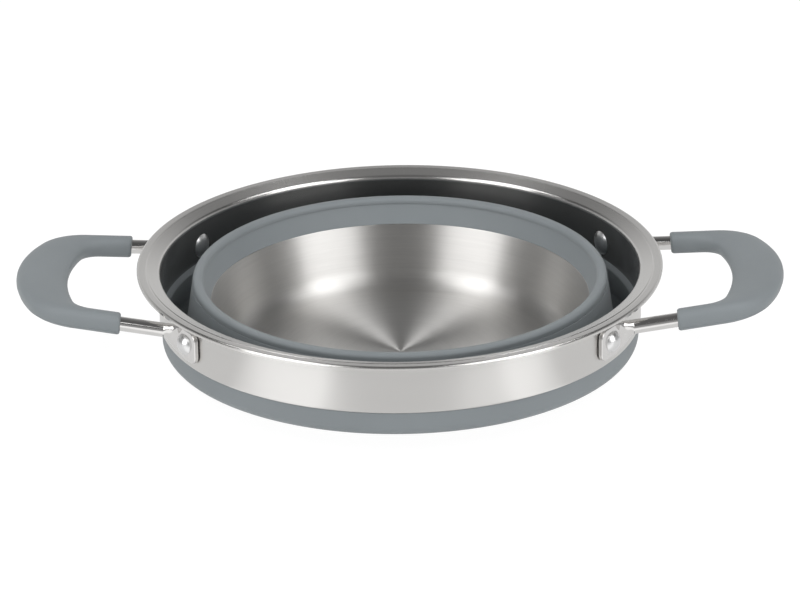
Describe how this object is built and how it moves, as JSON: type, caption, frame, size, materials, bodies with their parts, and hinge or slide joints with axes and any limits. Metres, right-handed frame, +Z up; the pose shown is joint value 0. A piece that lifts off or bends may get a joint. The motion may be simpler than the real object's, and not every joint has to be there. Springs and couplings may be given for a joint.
{
  "type": "collapsible camping pot",
  "caption": "Round cooking pot with a steel ring, a folding silicone wall, a steel pan base and two looped side handles with soft grips.",
  "frame": {"origin": "on the pot's axis at the underside of the base", "axes": "+Z up along the pot's axis, X through both handles, Y across"},
  "size_m": [0.3214, 0.22, 0.0457],
  "materials": {
    "polished_steel": "polished",
    "brushed_steel": "circumferentially brushed",
    "aluminium": "plain",
    "silicone": "matte"
  },
  "bodies": {
    "base": {"base_pan": "brushed_steel", "heat_spreader": "aluminium", "base_cap": "brushed_steel", "silicone_collar": "silicone", "silicone_fold": "silicone"},
    "ring": {"steel_ring": "brushed_steel", "silicone_skirt": "silicone", "handle_rod_right": "polished_steel", "handle_rod_left": "polished_steel", "grip_right": "silicone", "grip_left": "silicone", "rivet_right_back": "polished_steel", "rivet_right_front": "polished_steel", "rivet_left_back": "polished_steel", "rivet_left_front": "polished_steel"}
  },
  "joints": [
    {"name": "wall_unfold", "type": "slide", "parent": "base", "child": "ring", "axis": [0, 0, 1], "range_m": [0, 0.053], "deforming": ["silicone_fold"]}
  ]
}
